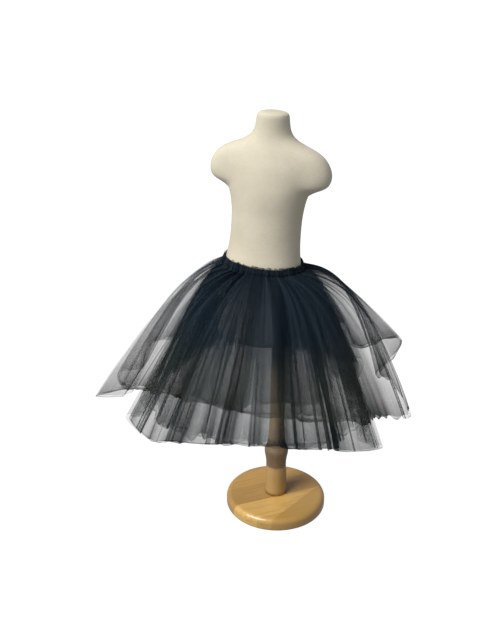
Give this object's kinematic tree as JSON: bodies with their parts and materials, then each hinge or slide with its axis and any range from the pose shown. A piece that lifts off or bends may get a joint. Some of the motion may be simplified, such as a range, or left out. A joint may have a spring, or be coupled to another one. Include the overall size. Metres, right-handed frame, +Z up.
{
  "type": "tulle skirt on a child's limbless dress form",
  "caption": "Short, full, gathered skirt of sheer black net in layers, worn by a child's limbless cream dress form on a turned wooden post and a round wooden base.",
  "frame": {"origin": "centre of the base's underside, on the post's axis", "axes": "+Z up; the form faces -Y, and +X is towards its left arm's side"},
  "size_m": [0.7206, 0.7286, 1.0083],
  "materials": {
    "varnished_wood": "light wood glued up from staves, clear satin varnish",
    "cream_cloth": "cream stretch cloth pulled smooth over the form, matt",
    "black_casing": "black net gathered on elastic, matt",
    "outer_layer_net": "sheer black net, matt with a slight sheen",
    "long_layer_net": "sheer black net, matt with a slight sheen",
    "middle_layer_net": "sheer black net, matt with a slight sheen",
    "short_layer_net": "sheer black net, closely gathered, matt"
  },
  "bodies": {
    "root": {"base_disc": "varnished_wood", "post": "varnished_wood", "dress_form": "cream_cloth", "waistband": "black_casing", "outer_layer_front": "outer_layer_net", "outer_layer_back": "outer_layer_net", "long_layer_front": "long_layer_net", "long_layer_back": "long_layer_net", "middle_layer_front": "middle_layer_net", "middle_layer_back": "middle_layer_net", "short_layer_front": "short_layer_net", "short_layer_back": "short_layer_net"}
  },
  "joints": []
}
